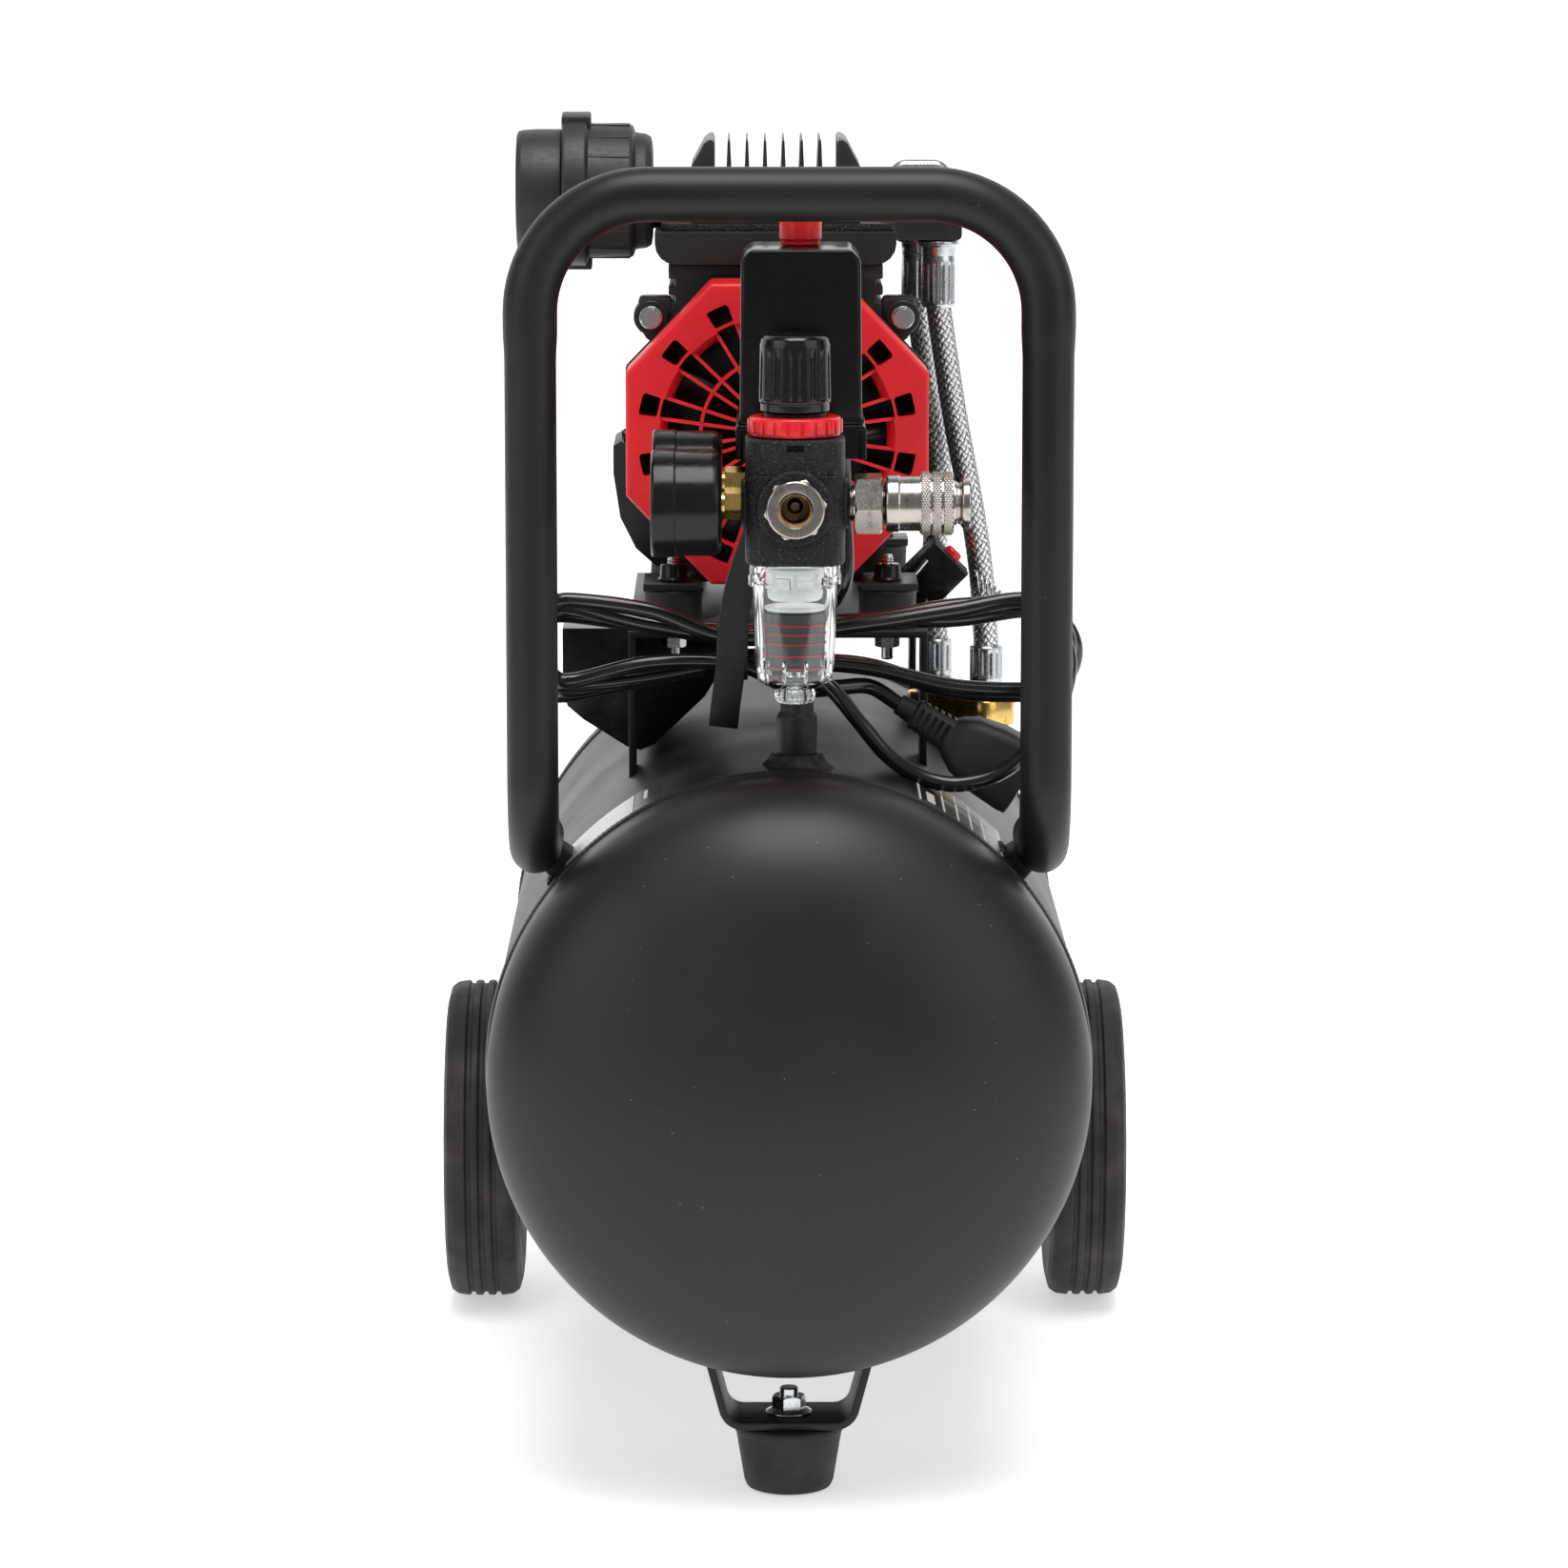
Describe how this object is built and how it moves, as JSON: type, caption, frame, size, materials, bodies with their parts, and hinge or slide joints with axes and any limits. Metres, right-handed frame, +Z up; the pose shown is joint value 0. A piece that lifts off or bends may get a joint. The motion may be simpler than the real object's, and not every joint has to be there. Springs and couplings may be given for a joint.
{
  "type": "air compressor",
  "caption": "Portable direct-drive air compressor: horizontal tank on wheels with a hoop handle, motor pump with red fan grille, filter-regulator, gauges, pressure switch.",
  "frame": {"origin": "on the floor under the middle of the tank", "axes": "X across the machine between the wheels, -Y towards the handle and outlets, +Z up"},
  "size_m": [0.318, 0.528, 0.5675],
  "materials": {
    "tank_paint": "black powder coat with a faint orange peel, semi-gloss",
    "frame_paint": "black powder coat, satin",
    "casting": "black painted die casting, satin",
    "head_metal": "dark finned die casting, half polished fin edges",
    "grille_red": "red moulded plastic, satin",
    "knob_red": "red moulded plastic, semi-gloss",
    "black_plastic": "black moulded plastic, satin",
    "filter_plastic": "dark grey moulded plastic, matt",
    "regulator_black": "black, coarse sand texture",
    "knob_black": "black ribbed plastic, semi-gloss",
    "rubber": "black moulded rubber, matt",
    "tread": "black-brown rubber, matt",
    "zinc_steel": "bright zinc plate",
    "motor_steel": "laminated steel and turned steel",
    "rod_alloy": "plain aluminium casting",
    "braid": "braided stainless wire over rubber",
    "nickel": "nickel plate, warm",
    "brass": "turned brass",
    "clear": "clear polycarbonate",
    "pointer_red": "red enamel",
    "cable_pvc": "black PVC, glossy"
  },
  "bodies": {
    "base": {"tank_shell": "tank_paint", "tank_dome_front": "tank_paint", "tank_dome_rear": "tank_paint", "handle": "frame_paint", "foot_bracket": "frame_paint", "rubber_foot": "rubber", "foot_bolt": "zinc_steel", "axle_bracket_left": "frame_paint", "axle_bolt_left": "zinc_steel", "axle_bracket_right": "frame_paint", "axle_bolt_right": "zinc_steel", "platform": "frame_paint", "mount_front_left": "rubber", "mount_front_right": "rubber", "mount_rear_left": "rubber", "mount_rear_right": "rubber", "crankcase": "casting", "motor_housing": "casting", "stator": "motor_steel", "fan_cover": "grille_red", "cylinder": "casting", "valve_block": "casting", "cylinder_head": "head_metal", "filter_housing": "filter_plastic", "filter_cap": "filter_plastic", "capacitor_case": "black_plastic", "overload_case": "black_plastic", "hose_front": "braid", "hose_rear": "braid", "check_valve": "brass", "riser": "casting", "switch_base": "black_plastic", "switch_cover": "black_plastic", "regulator_body": "regulator_black", "bowl": "clear", "gauge_front": "black_plastic", "gauge_rear": "black_plastic", "coupler_body": "nickel", "lead": "cable_pvc", "lead_hank": "cable_pvc", "plug": "cable_pvc"},
    "wheel_left": {"tyre_left": "tread", "rim_left": "black_plastic"},
    "wheel_right": {"tyre_right": "tread", "rim_right": "black_plastic"},
    "tank_drain": {"drain_screw": "brass"},
    "motor_shaft": {"rotor": "motor_steel", "fan": "black_plastic"},
    "rod": {"connecting_rod": "rod_alloy"},
    "piston_cup": {"piston": "rod_alloy"},
    "switch_button": {"switch_knob": "knob_red"},
    "relief_ring": {"safety_ring": "zinc_steel"},
    "overload_button": {"reset_button": "knob_red"},
    "lock_ring": {"regulator_ring": "knob_red"},
    "pressure_knob": {"regulator_knob": "knob_black"},
    "bowl_drain_screw": {"bowl_drain": "clear"},
    "outlet_pointer": {"pointer_front": "pointer_red"},
    "tank_pointer": {"pointer_rear": "pointer_red"},
    "quick_sleeve": {"coupler_sleeve": "nickel"}
  },
  "joints": [
    {"name": "wheel_left_spin", "type": "hinge", "parent": "base", "child": "wheel_left", "pos_m": [-0.1415, 0.179, 0.075], "axis": [1, 0, 0], "continuous": true},
    {"name": "wheel_right_spin", "type": "hinge", "parent": "base", "child": "wheel_right", "pos_m": [0.1415, 0.179, 0.075], "axis": [1, 0, 0], "continuous": true},
    {"name": "tank_drain_turn", "type": "hinge", "parent": "base", "child": "tank_drain", "pos_m": [0, 0.04, 0.045], "axis": [0, 0, 1], "range_deg": [0, 360]},
    {"name": "shaft_spin", "type": "hinge", "parent": "base", "child": "motor_shaft", "pos_m": [-0.0043, 0.05, 0.433], "axis": [0, 1, 0], "continuous": true},
    {"name": "crank_pin_turn", "type": "hinge", "parent": "motor_shaft", "child": "rod", "pos_m": [-0.0043, 0.016, 0.426], "axis": [0, 1, 0], "continuous": true},
    {"name": "piston_stroke", "type": "slide", "parent": "base", "child": "piston_cup", "axis": [0, 0, 1], "range_m": [0, 0.014]},
    {"name": "switch_pull", "type": "slide", "parent": "base", "child": "switch_button", "axis": [0, 0, 1], "range_m": [0, 0.005]},
    {"name": "relief_pull", "type": "slide", "parent": "base", "child": "relief_ring", "axis": [0, 1, 0], "range_m": [0, 0.003], "stiffness_N_per_m": 2000},
    {"name": "overload_press", "type": "slide", "parent": "base", "child": "overload_button", "axis": [-0.7071, 0, -0.7071], "range_m": [0, 0.002], "stiffness_N_per_m": 1500},
    {"name": "lock_ring_turn", "type": "hinge", "parent": "base", "child": "lock_ring", "pos_m": [0.0022, -0.208, 0.45], "axis": [0, 0, 1], "range_deg": [0, 60]},
    {"name": "pressure_knob_turn", "type": "hinge", "parent": "base", "child": "pressure_knob", "pos_m": [0.0022, -0.208, 0.472], "axis": [0, 0, 1], "range_deg": [-720, 720]},
    {"name": "bowl_drain_turn", "type": "hinge", "parent": "base", "child": "bowl_drain_screw", "pos_m": [0.0022, -0.208, 0.34], "axis": [0, 0, 1], "range_deg": [0, 90]},
    {"name": "outlet_pointer_sweep", "type": "hinge", "parent": "base", "child": "outlet_pointer", "pos_m": [-0.052, -0.208, 0.42], "axis": [1, 0, 0], "range_deg": [0, 270]},
    {"name": "tank_pointer_sweep", "type": "hinge", "parent": "base", "child": "tank_pointer", "pos_m": [-0.052, -0.1635, 0.424], "axis": [1, 0, 0], "range_deg": [0, 270]},
    {"name": "quick_sleeve_pull", "type": "slide", "parent": "base", "child": "quick_sleeve", "axis": [-1, 0, 0], "range_m": [0, 0.004], "stiffness_N_per_m": 1500}
  ],
  "couplings": [
    {"joint": "crank_pin_turn", "follows": "shaft_spin", "ratio": -1}
  ]
}
